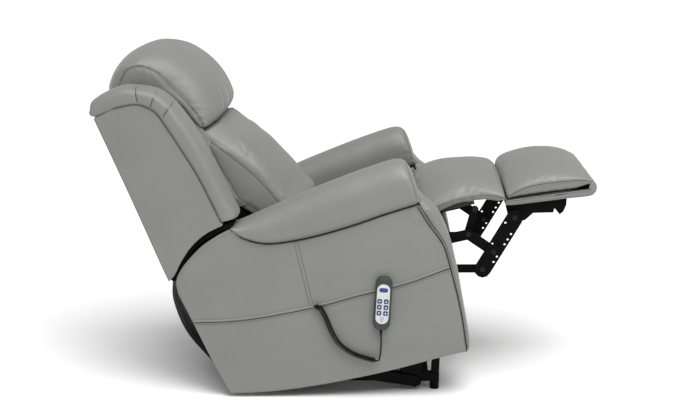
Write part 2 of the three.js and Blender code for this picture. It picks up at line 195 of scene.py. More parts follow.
def tube(name, path, radius, material, sides=8):
    """A round cord of that radius in metres along a path in metres, closed at both ends."""
    path = np.asarray(path, float)
    apart = np.r_[True, np.linalg.norm(np.diff(path, axis=0), axis=1) > 1e-5]
    radii = np.broadcast_to(np.asarray(radius, float), len(path))[apart]
    path = path[apart]
    heading = np.gradient(path, axis=0)
    heading /= np.maximum(np.linalg.norm(heading, axis=1), 1e-9)[:, None]
    side = np.cross(heading[0], (0.31, 0.87, 0.38))
    side /= np.linalg.norm(side)
    rings = []
    turn = np.linspace(0, 2 * np.pi, sides, endpoint=False)
    for point, h, r in zip(path, heading, radii):
        side = side - h * (side @ h)
        side /= np.linalg.norm(side)
        other = np.cross(h, side)
        rings.append(point + r * (np.cos(turn)[:, None] * side + np.sin(turn)[:, None] * other))
    return loft(name, rings, material)


def join(name, pieces):
    """One object out of several; the first keeps its material slots in front."""
    bpy.ops.object.select_all(action="DESELECT")
    for piece in pieces:
        piece.select_set(True)
    bpy.context.view_layer.objects.active = pieces[0]
    bpy.ops.object.join()
    pieces[0].name = name
    return pieces[0]


def bevel(piece, width):
    """Rounds a CAD piece's sharp edges by width metres and keeps its faces flat."""
    modifier = piece.modifiers.new("edges", "BEVEL")
    modifier.width = width
    modifier.segments = 2
    modifier.limit_method = "ANGLE"
    modifier.angle_limit = math.radians(35)
    modifier.harden_normals = False
    piece.data.shade_smooth()
    piece.modifiers.new("flat", "WEIGHTED_NORMAL").keep_sharp = True


def coordinates(piece, kind="co"):
    values = np.empty(len(piece.data.vertices) * 3)
    piece.data.vertices.foreach_get(kind, values)
    return values.reshape(-1, 3)


def sink(piece, path, depth, width, gather=0.0, period=30.0, reach=26.0, seed=1):
    """Presses a channel along a path in metres, with gathers that fade out beside it."""
    gap, s = distance_to(np.asarray(path) * 1000, coordinates(piece) * 1000)
    strong = 0.5 + 0.9 * waves(s, seed + 9, 6 * period, 1)
    folds = gather * strong * np.exp(-gap / reach) * waves(s + 0.8 * gap, seed, period)
    move = folds - depth * bump(gap, width)
    moved = coordinates(piece) + coordinates(piece, "normal") * move[:, None] / 1000
    piece.data.vertices.foreach_set("co", moved.ravel())
    piece.data.update()


def surface(piece):
    data = piece.data
    return BVHTree.FromPolygons([v.co for v in data.vertices], [f.vertices for f in data.polygons])


def lay_on(skin, path, lift=0.0):
    """A path in metres moved onto a surface and raised by lift millimetres."""
    laid = []
    for point in path:
        spot, normal, _, _ = skin.find_nearest(Vector(point))
        laid.append(np.array(spot) + np.array(normal) * lift / 1000)
    return np.array(laid)


def inflate(piece, cap):
    """Blows a pad up as cloth under pressure, no point moving further than cap millimetres."""
    bpy.ops.object.select_all(action="DESELECT")
    piece.select_set(True)
    bpy.context.view_layer.objects.active = piece
    even = piece.modifiers.new("even", "REMESH")
    even.mode = "VOXEL"
    even.voxel_size = SIM_VOXEL
    bpy.ops.object.modifier_apply(modifier="even")
    start = coordinates(piece)
    cloth = piece.modifiers.new("cloth", "CLOTH")
    cloth.settings.use_pressure = True
    cloth.settings.uniform_pressure_force = SIM_PRESSURE
    cloth.settings.effector_weights.gravity = 0
    cloth.settings.quality = 4
    cloth.point_cache.frame_start, cloth.point_cache.frame_end = 1, SIM_FRAMES
    scene = bpy.context.scene
    for step in range(1, SIM_FRAMES + 1):
        scene.frame_set(step)
    settled = piece.evaluated_get(bpy.context.evaluated_depsgraph_get())
    moved = np.array([v.co for v in settled.data.vertices]) - start
    piece.modifiers.remove(cloth)
    scene.frame_set(1)
    size = np.linalg.norm(moved, axis=1)[:, None]
    limit = cap / 1000
    moved = moved / np.maximum(size, 1e-9) * limit * np.tanh(size / limit)
    piece.data.vertices.foreach_set("co", (start + moved).ravel())
    piece.data.shade_smooth()
    piece.data.update()
    fine = piece.modifiers.new("fine", "SUBSURF")
    fine.levels = fine.render_levels = 1
    bpy.ops.object.modifier_apply(modifier="fine")
    return piece


def spaced(count, edge=0.5):
    """Positions from 0 to 1, closer together near both ends."""
    t = np.linspace(0, 1, count)
    return (1 - edge) * t + edge * (0.5 - 0.5 * np.cos(np.pi * t))


def superellipse(count, power, power_below=None):
    """A rounded rectangle; power_below squares off its lower half."""
    a = (np.arange(count) + 0.5) * 2 * np.pi / count
    c, s = np.cos(a), np.sin(a)
    power = np.where(s < 0, power_below or power, power)
    r = (np.abs(c) ** power + np.abs(s) ** power) ** (-1 / power)
    return r * c, r * s


def coons(bottom, top, left, right, nu, nv):
    """A (y, z) grid inside four lines: bottom and top run left to right, the sides bottom to top."""
    u, v = spaced(nu), spaced(nv)

    def at(line, t):
        fine = spline(line, 400)
        return np.stack([np.interp(t * 399, np.arange(400), fine[:, k]) for k in (0, 1)], -1)

    b, t, l, r = at(bottom, u), at(top, u), at(left, v), at(right, v)
    grid = (1 - v)[:, None, None] * b[None] + v[:, None, None] * t[None]
    grid = grid + (1 - u)[None, :, None] * l[:, None] + u[None, :, None] * r[:, None]
    corner = ((1 - v)[:, None] * (1 - u)[None])[..., None] * b[0]
    corner = corner + ((1 - v)[:, None] * u[None])[..., None] * b[-1]
    corner = corner + (v[:, None] * (1 - u)[None])[..., None] * t[0]
    corner = corner + (v[:, None] * u[None])[..., None] * t[-1]
    return grid - corner


def grid_faces(rows, cols, start=0):
    """The quads of a grid of points numbered row by row from start."""
    return [(a, a + 1, a + cols + 1, a + cols) for i in range(rows - 1)
            for a in range(start + i * cols, start + (i + 1) * cols - 1)]


def grid_rim(rows, cols):
    """The numbers of a grid's outer points, once round."""
    return (list(range(cols)) + [i * cols + cols - 1 for i in range(1, rows)]
            + [(rows - 1) * cols + k for k in range(cols - 2, -1, -1)]
            + [i * cols for i in range(rows - 2, 0, -1)])


def padded_panel(name, lines, face_x, back_x, size, edge, swell, relief=None):
    """An upholstered panel: a swollen face at face_x with rounded edges, and a flat back at back_x.

    lines are bottom, top, left and right in the level frame; relief(y, z) adds to the face's height.
    """
    grid = coons(*lines, *size)
    y, z = grid[..., 0], grid[..., 1]
    rim = np.vstack([grid[0], grid[1:, -1], grid[-1, ::-1][1:], grid[::-1, 0][1:-1]])
    gap, _ = distance_to(np.vstack([rim, rim[:1]]), grid)
    height = edge - np.sqrt(np.maximum(edge ** 2 - np.maximum(edge - gap, 0) ** 2, 0))
    height = -height + swell * ease(gap / 90) - swell
    if relief is not None:
        height = height + relief(y, z) * ease(gap / 12)
    out = 1 if face_x > back_x else -1
    top = level(face_x + out * height, y, z)
    rows, cols = y.shape
    verts, faces, ring = list(top.reshape(-1, 3)), grid_faces(rows, cols), grid_rim(rows, cols)
    start = len(verts)
    flat = y.reshape(-1)[ring], z.reshape(-1)[ring]
    verts += list(level(back_x, *flat))
    count = len(ring)
    for k in range(count):
        q = (k + 1) % count
        faces.append((ring[q], ring[k], start + k, start + q))
    for a, b, c in tessellate_polygon([[Vector((p, q, 0)) for p, q in zip(*flat)]]):
        faces.append((start + a, start + b, start + c))
    return mesh_object(name, verts, faces, LEATHER)


# ---- materials -------------------------------------------------------------------------
def principled(name, color, roughness, metallic=0.0, **sockets):
    material = bpy.data.materials.new(name)
    material.use_nodes = True
    shader = material.node_tree.nodes["Principled BSDF"]
    shader.inputs["Base Color"].default_value = (*color, 1)
    shader.inputs["Roughness"].default_value = roughness
    shader.inputs["Metallic"].default_value = metallic
    for socket, value in sockets.items():
        shader.inputs[socket.replace("_", " ")].default_value = value
    return material, material.node_tree, shader


def texture(tree, kind, scale, **settings):
    """A texture node in object space; settings are its sockets or properties."""
    node = tree.nodes.new("ShaderNodeTex" + kind)
    node.inputs["Scale"].default_value = scale
    for key, value in settings.items():
        if key in node.inputs:
            node.inputs[key].default_value = value
        else:
            setattr(node, key, value)
    place = tree.nodes.get("place") or tree.nodes.new("ShaderNodeTexCoord")
    place.name = "place"
    tree.links.new(place.outputs["Object"], node.inputs["Vector"])
    return node


def ramp(tree, source, low, high, start=0.0, end=1.0):
    """A ramp between two colours or greys."""
    node = tree.nodes.new("ShaderNodeValToRGB")
    for stop, position, tone in zip(node.color_ramp.elements, (start, end), (low, high)):
        stop.position = position
        stop.color = (*np.broadcast_to(tone, 3), 1)
    tree.links.new(source, node.inputs["Fac"])
    return node.outputs["Color"]


def add_bump(tree, shader, layers):
    """Chains bump nodes: each layer is (height output, strength, distance in metres)."""
    previous = None
    for height, strength, distance in layers:
        node = tree.nodes.new("ShaderNodeBump")
        node.inputs["Strength"].default_value = strength
        node.inputs["Distance"].default_value = distance
        tree.links.new(height, node.inputs["Height"])
        if previous is not None:
            tree.links.new(previous, node.inputs["Normal"])
        previous = node.outputs["Normal"]
    tree.links.new(previous, shader.inputs["Normal"])


def shade(color, factor):
    return tuple(c * factor for c in color)


def leather(name, color, grain=1.0):
    """Pigmented leather: pebble grain, fine pores, soft creases and uneven colour."""
    material, tree, shader = principled(name, color, 0.45, Specular_IOR_Level=0.5,
                                        Sheen_Weight=0.12, Sheen_Roughness=0.45)
    broad = texture(tree, "Noise", 5.0, Detail=3.0)
    mottle = texture(tree, "Noise", 60.0, Detail=4.0)
    pebble = texture(tree, "Voronoi", 620.0, feature="DISTANCE_TO_EDGE")
    pores = texture(tree, "Noise", 1500.0, Detail=3.0)
    crease = texture(tree, "Noise", 38.0, Detail=6.0, Roughness=0.6, Distortion=0.6)
    large = ramp(tree, broad.outputs["Fac"], shade(color, 0.965), shade(color, 1.035), 0.3, 0.7)
    fine = ramp(tree, mottle.outputs["Fac"], 0.985, 1.012, 0.35, 0.65)
    valley = ramp(tree, pebble.outputs["Distance"], 0.84, 1.0, 0.0, 0.09)
    product = large
    for other in (fine, valley):
        mix = tree.nodes.new("ShaderNodeMix")
        mix.data_type = "RGBA"
        mix.blend_type = "MULTIPLY"
        mix.inputs["Factor"].default_value = 1.0
        tree.links.new(product, mix.inputs["A"])
        tree.links.new(other, mix.inputs["B"])
        product = mix.outputs["Result"]
    tree.links.new(product, shader.inputs["Base Color"])
    rough = ramp(tree, mottle.outputs["Fac"], 0.44, 0.52, 0.3, 0.7)
    tree.links.new(rough, shader.inputs["Roughness"])
    add_bump(tree, shader, [(crease.outputs["Fac"], 0.16 * grain, 0.003),
                            (pebble.outputs["Distance"], 0.35 * grain, 0.0005),
                            (pores.outputs["Fac"], 0.2 * grain, 0.0003)])
    return material


def coated_steel(name, color, roughness, metallic, grain, gloss=0.5):
    """Painted or plated steel with fine unevenness and rubbed patches."""
    material, tree, shader = principled(name, color, roughness, metallic, Specular_IOR_Level=gloss)
    patch = texture(tree, "Noise", 22.0, Detail=5.0)
    speck = texture(tree, "Noise", 900.0, Detail=2.0)
    tree.links.new(ramp(tree, patch.outputs["Fac"], shade(color, 0.75), shade(color, 1.5), 0.35, 0.75),
                   shader.inputs["Base Color"])
    tree.links.new(ramp(tree, patch.outputs["Fac"], roughness * 0.8, roughness * 1.25),
                   shader.inputs["Roughness"])
    add_bump(tree, shader, [(speck.outputs["Fac"], grain, 0.0003)])
    return material


def moulded(name, color, roughness, grain=0.15, scale=1400.0, gloss=0.5):
    """Moulded plastic or rubber with a fine spark-eroded texture."""
    material, tree, shader = principled(name, color, roughness, 0.0, Specular_IOR_Level=gloss)
    speck = texture(tree, "Noise", scale, Detail=2.0)
    patch = texture(tree, "Noise", 40.0, Detail=3.0)
    tree.links.new(ramp(tree, patch.outputs["Fac"], shade(color, 0.9), shade(color, 1.12)),
                   shader.inputs["Base Color"])
    tree.links.new(ramp(tree, patch.outputs["Fac"], roughness * 0.88, roughness * 1.1),
                   shader.inputs["Roughness"])
    add_bump(tree, shader, [(speck.outputs["Fac"], grain, 0.0002)])
    return material


def wood(name, color):
    """Plywood with long grain streaks."""
    material, tree, shader = principled(name, color, 0.6)
    wave = texture(tree, "Wave", 26.0, Distortion=7.0, Detail=4.0)
    tree.links.new(ramp(tree, wave.outputs["Color"], shade(color, 0.7), shade(color, 1.15)),
                   shader.inputs["Base Color"])
    add_bump(tree, shader, [(wave.outputs["Fac"], 0.15, 0.0006)])
    return material


LEATHER = leather("leather_grey", LEATHER_LIT)
LEATHER_SHADE = leather("leather_dark_grey", LEATHER_DARK, 1.2)
THREAD = moulded("seam_thread", (0.16, 0.168, 0.15), 0.8, 0.4, 2500.0)
SEAM = moulded("seam_shadow", (0.03, 0.031, 0.028), 0.9, gloss=0.15)
BLACK = coated_steel("black_powder_coat", (0.0018, 0.0018, 0.002), 0.5, 0.0, 0.25, 0.06)
ZINC = coated_steel("zinc_plate", (0.5, 0.51, 0.53), 0.3, 1.0, 0.1)
RIVET = coated_steel("rivet_steel", (0.012, 0.012, 0.013), 0.4, 0.5, 0.1, 0.2)
TIMBER = wood("stained_plywood", (0.02, 0.016, 0.013))
# painted shade: near-black band that fills the gap between the wing and the arm and stands in for the shadow
# there
GAP_SHADE = moulded("gap_shade_black", (0.002, 0.002, 0.0025), 0.9, 0.5, 900.0, 0.08)
HOUSING = moulded("handset_grey", (0.032, 0.033, 0.036), 0.5, gloss=0.3)
RUBBER = moulded("rubber_black", (0.003, 0.003, 0.0035), 0.5, gloss=0.15)
FACEPLATE = moulded("faceplate_light", (0.46, 0.48, 0.49), 0.4)
KEY = moulded("key_navy", (0.012, 0.022, 0.085), 0.38)
PRINT_WHITE = moulded("print_white", (0.75, 0.76, 0.78), 0.5)
PRINT_BLUE = moulded("print_blue", (0.012, 0.025, 0.17), 0.45)
PRINT_RED = moulded("print_red", (0.5, 0.03, 0.03), 0.5)


# ---- camera, light and floor -----------------------------------------------------------
def make_camera():
    elevation, azimuth, distance = math.radians(11.5), math.radians(1.5), 4.2
    look_at = floor_point(-400, 0, 626)
    view = np.array([math.cos(elevation) * math.cos(azimuth), math.cos(elevation) * math.sin(azimuth),
                     -math.sin(elevation)])
    data = bpy.data.cameras.new("camera")
    data.lens = 72
    data.sensor_width = 36
    camera = bpy.data.objects.new("camera", data)
    camera.location = Vector(look_at - view * distance)
    camera.rotation_euler = Vector(view).to_track_quat("-Z", "Y").to_euler()
    bpy.context.scene.collection.objects.link(camera)
    bpy.context.scene.camera = camera


def add_light(name, kind, location, direction, energy, **settings):
    data = bpy.data.lights.new(name, kind)
    data.energy = energy
    for key, value in settings.items():
        setattr(data, key, value)
    light = bpy.data.objects.new(name, data)
    light.location = location
    light.rotation_euler = Vector(direction).to_track_quat("-Z", "Y").to_euler()
    bpy.context.scene.collection.objects.link(light)


def make_studio():
    material, tree, shader = principled("floor_white", (0.9, 0.9, 0.9), 0.7)
    soft = texture(tree, "Noise", 3.0, Detail=2.0)
    tree.links.new(ramp(tree, soft.outputs["Fac"], 0.895, 0.905), shader.inputs["Base Color"])
    size = 60
    corners = [(-size, -size, 0), (size, -size, 0), (size, size, 0), (-size, size, 0)]
    floor = mesh_object("floor", corners, [(0, 1, 2, 3)], material, smooth=False)
    add_light("sun", "SUN", (0, 0, 0), (0.34, 0.14, -0.95), 2.75, angle=math.radians(55))
    add_light("key", "AREA", (-1.9, -0.7, 2.5), (1.7, 0.8, -1.75), 34, shape="DISK", size=1.5)
    world = bpy.data.worlds.new("studio")
    world.use_nodes = True
    world.node_tree.nodes["Background"].inputs["Color"].default_value = (1.0, 1.0, 1.0, 1)
    world.node_tree.nodes["Background"].inputs["Strength"].default_value = 0.5
    bpy.context.scene.world = world
    bpy.context.scene.view_settings.view_transform = "Standard"


# ---- outlines of the seat unit, level frame (y, z) --------------------------------------
PANEL_BOTTOM = [(-379, 47), (-277, 46), (-160, 42), (-36, 43), (87, 48), (209, 59), (300, 74), (357, 87)]
PANEL_REAR = [(357, 87), (382, 190), (411, 337), (430, 430)]
ROLL_SEAM = [(-343, 528), (-256, 522), (-153, 512), (-50, 506), (37, 507), (116, 516), (166, 535),
             (200, 560), (219, 589)]
ROLL_TOP = [(-353, 580), (-351, 600), (-347, 630), (-337, 655), (-318, 667), (-278, 669),
            (-166, 658), (-4, 635), (100, 616), (162, 604), (221, 593)]
REAR_ARC = [(219, 589), (300, 568), (356, 538), (404, 501), (426, 470), (430, 430)]
FRONT_SEAM = [(-379, 47), (-388, 70), (-397, 181), (-397, 300), (-392, 391), (-363, 467), (-343, 528)]
FRONT_FACE = [(-386, 44), (-397, 60), (-404, 91), (-409, 175), (-416, 292), (-416, 376), (-410, 439),
              (-396, 491), (-370, 530), (-352, 562)]
POCKET = [(411, 337), (253, 310), (44, 298), (-100, 302), (-237, 304), (-395, 320)]
DOUBLE_STITCH = [(39, 505), (42, 302)]


def raised(name, path, radius, material, parts, skin=None, lift=0.0):
    """A seam line or piping of that radius in millimetres along a path in metres."""
    path = lay_on(skin, path, lift) if skin else np.array(path, float)
    for _ in range(3 if skin else 0):
        path[1:-1] = (path[:-2] + 2 * path[1:-1] + path[2:]) / 4
    parts.append(tube(name, path, radius / 1000, material, 6))


def stitches(name, path, material, parts, skin=None, lift=0.3, length=5.5, gap=3.5, radius=0.6):
    """A row of short thread dashes, sizes in millimetres, along a path in metres."""
    path = lay_on(skin, path, lift) if skin else np.asarray(path, float)
    travel = np.r_[0, np.cumsum(np.linalg.norm(np.diff(path, axis=0), axis=1))] * 1000
    turn = np.linspace(0, 2 * np.pi, 5, endpoint=False)
    verts, faces = [], []
    for s in np.arange(0, travel[-1] - length, length + gap):
        spots = [np.array([np.interp(t, travel, path[:, k]) for k in range(3)])
                 for t in (s, s + length / 2, s + length)]
        heading = spots[2] - spots[0]
        side = np.cross(heading, (0.31, 0.87, 0.38))
        side /= np.linalg.norm(side)
        other = np.cross(heading / np.linalg.norm(heading), side)
        start = len(verts)
        for spot, r in zip(spots, (radius * 0.5, radius, radius * 0.5)):
            verts += list(spot + r / 1000 * (np.cos(turn)[:, None] * side + np.sin(turn)[:, None] * other))
        for ring in (0, 5):
            faces += [(start + ring + k, start + ring + (k + 1) % 5, start + ring + 5 + (k + 1) % 5,
                       start + ring + 5 + k) for k in range(5)]
        faces.append(tuple(start + k for k in range(4, -1, -1)))
        faces.append(tuple(start + 10 + k for k in range(5)))
    parts.append(mesh_object(name, verts, faces, material))


def line_at(x, points, count, dy=0.0, dz=0.0):
    """A smooth line through (y, z) points of the level frame at x, shifted by dy and dz, in metres."""
    line = spline(points, count)
    return level(np.broadcast_to(x, count), line[:, 0] + dy, line[:, 1] + dz)


def finish_piece(piece, body, nodes=()):
    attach(piece, body)
    if nodes:
        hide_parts(*nodes)


def around_pivot(radius, degrees):
    """(y, z) points at those angles on a circle round the recline pivot."""
    return [(PIVOT[0] + radius * math.cos(a), PIVOT[1] + radius * math.sin(a))
            for a in np.radians(list(degrees))]


def prism(name, outline, ends, material, count=90):
    """An (y, z) outline carried across x; ends are (x, inset mm) from one side to the other."""
    ring = spline(outline + outline[:1], count)[:-1]
    centre = ring.mean(0)
    reach = np.linalg.norm(ring - centre, axis=1).max()
    rings = []
    for x, inset in ends:
        p = ring + (centre - ring) * (inset / reach)
        rings.append(level(np.full(len(p), x), p[:, 0], p[:, 1]))
    return loft(name, rings, material)


# ---- arms ------------------------------------------------------------------------------
def panel_relief(y, z):
    """The pocket mouth's raised hem and the soft hollows of the side panel."""
    gap, _ = distance_to(spline(POCKET, 60), pairs(y, z))
    line = np.interp(-y, [-p[0] for p in POCKET], [p[1] for p in POCKET])
    below = np.where(z < line, gap, -gap)
    hem = -1.8 * bump(below - 12, 12)
    slack = 2.2 * np.where(below > 0, ease(gap / 60), 0) * waves(y * 0.8 + z * 0.3, 5, 420)
    dents = 0.9 * waves(y + 0.7 * z, 11, 260) + 0.7 * waves(z - 0.4 * y, 12, 190)
    roll, s = distance_to(spline(ROLL_SEAM, 60), pairs(y, z))
    return hem + slack + dents + 0.9 * np.exp(-roll / 24) * waves(s, 13, 36)


def make_arms():
    for name, side in SIDES:
        top = ROLL_SEAM + REAR_ARC[1:]
        panel = padded_panel(f"side_panel_{name}", (PANEL_BOTTOM, top, FRONT_SEAM, PANEL_REAR),
                             side * (OUTER_X + 1.8), side * 376.4, (170, 130), 5, 4.0, panel_relief)
        skin, parts = surface(panel), [panel]
        face = side * (OUTER_X + 2)
        pocket, stitched = line_at(face, POCKET, 120), line_at(face, POCKET, 120, dz=-12)
        raised("pocket_piping", pocket, 4.0, LEATHER, parts, skin)
        raised("pocket_seam", line_at(face, POCKET, 120, dz=-5.6), 0.8, SEAM, parts, skin, 0.5)
        stitches("pocket_stitch", stitched, SEAM, parts, skin, 0.2, 4, 3, 0.6)
        inset = [(y - 8 * (y - PIVOT[0]) / 305, z - 8 * (z - PIVOT[1]) / 305) for y, z in REAR_ARC]
        stitches("rear_stitch", line_at(face, inset, 60), SEAM, parts, skin, 0.1, 3.5, 3.0, 0.6)
        for shift in (-5.5, 5.5):
            line = line_at(face, DOUBLE_STITCH, 30, dy=shift)
            stitches("double_stitch", line, SEAM, parts, skin, 0.4, 4.4, 3.2, 1.0)
        finish_piece(join(f"side_panel_{name}", parts), "seat_unit", [f"arm_panel_{name}"])
        make_arm_inner(name, side, top)
        make_arm_roll(name, side)
        make_facing(name, side)


def make_arm_inner(name, side, top):
    bottom = [(-390, 228), (-200, 228), (100, 228), (390, 228)]
    front = [(-390, 228), (-392, 300), (-388, 391), (-361, 467), (-343, 526)]
    rear = [(390, 228), (408, 330), (428, 430)]
    inner = padded_panel(f"arm_inner_{name}", (bottom, top, front, rear), side * ARM_INNER_X,
                         side * 375.6, (90, 60), 6, 1.0)
    finish_piece(inner, "seat_unit", [f"arm_frame_{name}"])


def make_arm_roll(name, side):
    """The arm's padded roll: flat where it sits on the panel, rounded over the top and in front."""
    front, tail, nose_length = -353.0, 221.0, 24
    stations = np.r_[front + 26 * np.linspace(0, 1, 16)[:-1] ** 1.8,
                     np.linspace(front + 26, 190, 90)[:-1], np.linspace(190, tail, 12)]
    low_line, high_line = spline(ROLL_SEAM, 300), spline(ROLL_TOP, 300)
    cx, cz = superellipse(80, 2.3, 5.0)
    rings = []
    for y in stations:
        low = np.interp(y, low_line[:, 0], low_line[:, 1]) + 0.4
        high = max(np.interp(y, high_line[:, 0], high_line[:, 1]), low + 4)
        bend = max(front + nose_length - y, 0) / nose_length
        nose = math.sqrt(max(1 - bend ** 2, 0.0)) * 0.16 + 0.84
        taper = 1 - 0.10 * ease((y - 100) / 120)
        middle = low + 0.40 * (high - low)
        z = np.where(cz > 0, middle + cz * (high - middle), middle + cz * (middle - low) * nose)
        x = ROLL_X + cx * 82 * nose * taper
        along, near_seam = np.full(len(x), y), np.exp(-(z - low) / 18)
        folds = waves(along, 21, 240) + 0.8 * near_seam * waves(along, 22, 32)
        folds = folds + 1.3 * np.exp(-(y - front) / 24) * waves(z, 23, 22)
        x = x + folds * np.tanh((x - ROLL_X) / 20)
        x = x - np.tanh((x - ROLL_X) / 20) * 3.2 * np.exp(-(z - low) / 6)
        rings.append(level(side * x, along, z))
    roll = loft(f"arm_roll_{name}", rings, LEATHER)
    skin, parts = surface(roll), [roll]
    turn = np.linspace(-0.15, 1.15, 70) * np.pi
    cap = level(side * (ROLL_X + 80 * np.cos(turn)), front + 5, 572 + 82 * np.sin(turn))
    raised("nose_seam", cap, 0.45, SEAM, parts, skin)
    stitches("nose_stitch", cap + (0, 0.004, 0), SEAM, parts, skin, 0.1, 3.5, 3, 0.5)
    raised("roll_seam", line_at(side * 404.5, ROLL_SEAM[:-1], 110, dz=1.2), 0.4, SEAM, parts)
    finish_piece(join(f"arm_roll_{name}", parts), "seat_unit", [f"arm_roll_{name}"])


def make_facing(name, side):
    """The padded strip down the arm's front, tucked in under the roll."""
    seam, face = spline(FRONT_SEAM, 200), spline(FRONT_FACE, 200)
    heights = np.r_[np.linspace(45, 60, 8)[:-1], np.linspace(60, 500, 76)[:-1], np.linspace(500, 560, 22)]
    cx, cy = superellipse(60, 3.6)
    rings = []
    for z in heights:
        front = np.interp(z, face[:, 1], face[:, 0])
        back = max(np.interp(z, seam[:, 1], seam[:, 0]) - 0.4, front + 2)
        end = 1 - 0.12 * (1 - ease((z - 44) / 16)) - 0.3 * ease((z - 508) / 26)
        y = (front + back) / 2 - cy * (back - front) / 2
        x = 326 + cx * 75.5 * end + 0.5 * np.abs(cy) * waves(np.full(60, z), 31, 70)
        rings.append(level(side * x, y, np.full(60, z)))
    parts = [loft(f"arm_facing_{name}", rings, LEATHER)]
    for seam_name, x, first, count, dy, radius, material in (
            ("front_seam", OUTER_X + 1.0, 1, 80, -0.4, 1.0, SEAM),
            ("front_welt", OUTER_X + 0.6, 1, 80, -2.8, 1.8, LEATHER),
            ("inner_seam", ARM_INNER_X - 0.2, 4, 40, -0.4, 1.0, SEAM)):
        raised(seam_name, line_at(side * x, FRONT_SEAM[first:], count, dy), radius, material, parts)
    finish_piece(join(f"arm_facing_{name}", parts), "seat_unit", [f"arm_facing_{name}"])


# ---- backrest --------------------------------------------------------------------------
STRIP_SEAM = [(242, 618), (270, 755), (296, 845), (337, 967), (354, 996), (374, 1013), (403, 1026),
              (465, 1029), (535, 1018)]
STRIP_FACE = [(190, 618), (224, 776), (247, 879), (272, 950), (296, 1002), (324, 1039), (357, 1060),
              (394, 1074), (445, 1084), (523, 1067), (546, 1042)]
WING_ARC = [(242, 606), (294, 594), (342, 571), (391, 532), (421, 500), (444, 485)]
WING_REAR = [(444, 485), (452, 500), (494, 775), (533, 1012)]
STRIP_HALF = 70
PLEATS = (((388, 1074), (393, 1027)), ((334, 1044), (360, 1003)), ((294, 999), (333, 966)))


def wing_relief(y, z):
    gap, s = distance_to(spline(STRIP_SEAM, 80), pairs(y, z))
    return 0.9 * waves(z + 0.3 * y, 41, 300) + 0.8 * np.exp(-gap / 22) * waves(s, 42, 38)


def make_wings():
    for name, side in SIDES:
        front = [(242, 606), (246, 626), (272, 755), (298, 845), (339, 965), (356, 993), (376, 1010)]
        over = [(376, 1010), (403, 1024), (465, 1027), (533, 1012)]
        wing = padded_panel(f"back_wing_{name}", (WING_ARC, over, front, WING_REAR), side * 400.5,
                            side * WING_INNER_X, (80, 120), 3, 3.0, wing_relief)
        parts = [wing, make_wing_strip(name, side)]
        raised("wing_seam", line_at(side * 399.2, STRIP_SEAM[:-1], 110, 2, -1), 0.8, SEAM, parts)
        edge = line_at(side * OUTER_X, [(450, 500), (491, 775), (529, 1012)], 90)
        stitches("edge_stitch", edge, SEAM, parts, surface(wing), 0.1, 3.2, 2.6, 0.5)
        for outer, inner in PLEATS:
            raised("pleat", pleat_path(side, np.array(outer), np.array(inner)), 0.8, SEAM, parts)
        finish_piece(join(f"back_wing_{name}", parts), "backrest", [f"back_wing_{name}"])


def pleat_path(side, outer, inner):
    """The bottom of a pleat, across the strip's rounded side from its seam to its crest."""
    inner = inner + (inner - outer) * 0.3
    u = np.linspace(-0.5, 0.95, 24)
    x = ROLL_X + STRIP_HALF * (1 - np.abs(u) ** 3) ** (1 / 3) - 2.4
    spots = (inner + outer) / 2 + u[:, None] * (outer - inner) / 2
    return level(side * x, spots[:, 0], spots[:, 1])


def make_wing_strip(name, side):
    """The padded edge roll along the wing's front that turns over its top, with pleats at the bend."""
    count = 240
    inner, outer = spline(STRIP_SEAM, count), spline(STRIP_FACE, count)
    cu, cx = superellipse(60, 3.0)
    rings = []
    for i in range(count):
        end = 1 - 0.10 * bump(i, 2) - 0.35 * bump(count - 1 - i, 4)
        a, b = inner[i] + (inner[i] - outer[i]) * 0.3, outer[i]
        middle, reach = (a + b) / 2, (b - a) / 2 * end * (1 + 0.012 * math.sin(i * 0.24))
        x = ROLL_X + cx * STRIP_HALF * (0.9 + 0.1 * end)
        rings.append(level(side * x, middle[0] + cu * reach[0], middle[1] + cu * reach[1]))
    strip = loft(f"wing_strip_{name}", rings, LEATHER)
    for outer_end, inner_end in PLEATS:
        side_fold = line_at(side * 401, [outer_end, inner_end], 10)
        top_fold = level(np.linspace(side * 401, side * 300, 10), outer_end[0], outer_end[1])
        sink(strip, np.vstack([top_fold[::-1], side_fold]), 3.2, 3.6)
    return strip


def make_outside_back():
    """The padded outer back with two upright seams."""
    line = spline([(442, 500), (484, 775), (523, 1022)], 90)
    cx, cd = superellipse(100, 14)
    rings = []
    for i, (y, z) in enumerate(line):
        end = math.sqrt(max(1 - (max(abs(i - 44.5) - 41.5, 0) / 3.2) ** 2, 0.05))
        x = cx * 393
        groove = 2.2 * bump(np.abs(x) - 262, 2.5)
        puff = 3.0 * ease((393 - np.abs(x)) / 60) * np.sin(np.pi * i / 89)
        d = cd * 7.0 * end + np.where(cd > 0, puff - groove, 0)
        rings.append(level(x, y + 3 + d, z - 0.15 * d))
    back = loft("outside_back", rings, LEATHER)
    skin, parts = surface(back), [back]
    for side in (1, -1):
        x = side * 262
        raised("back_seam", line_at(x, line[::6], 60, 22), 0.9, SEAM, parts, skin)
        for shift in (-6, 6):
            stitches("back_stitch", line_at(x + shift, line[::6], 60, 22), THREAD, parts, skin, 0.3, 7, 6)
    finish_piece(join("outside_back", parts), "backrest", ["outside_back"])


def make_back_core():
    """The leather-covered core between the wings, and a black band round its lower end that paints the shadow
    in the gap between wing and arm.
    """
    outline = around_pivot(335, [43, 53, 63, 73, 83, 91])
    outline += [(177, 642), (209, 752), (252, 895), (300, 990), (350, 1036), (420, 1048),
                (512, 1028), (478, 778)]
    ends = [(-249, 4), (-248, 1), (-246, 0), (246, 0), (248, 1), (249, 4)]
    finish_piece(prism("back_core", outline, ends, LEATHER, 140), "backrest", ["back_frame"])
    # painted shade: this black band round the pivot stands in for the shadow in the gap between the wing and
    # the arm
    band = around_pivot(320.5, range(36, 85, 6)) + around_pivot(308, range(84, 35, -6))
    for name, side in SIDES:
        ends = [(side * x, inset) for x, inset in ((258, 2), (259, 0), (391, 0), (392, 2))]
        finish_piece(prism(f"back_gap_shade_{name}", band, ends, GAP_SHADE, 80), "backrest")


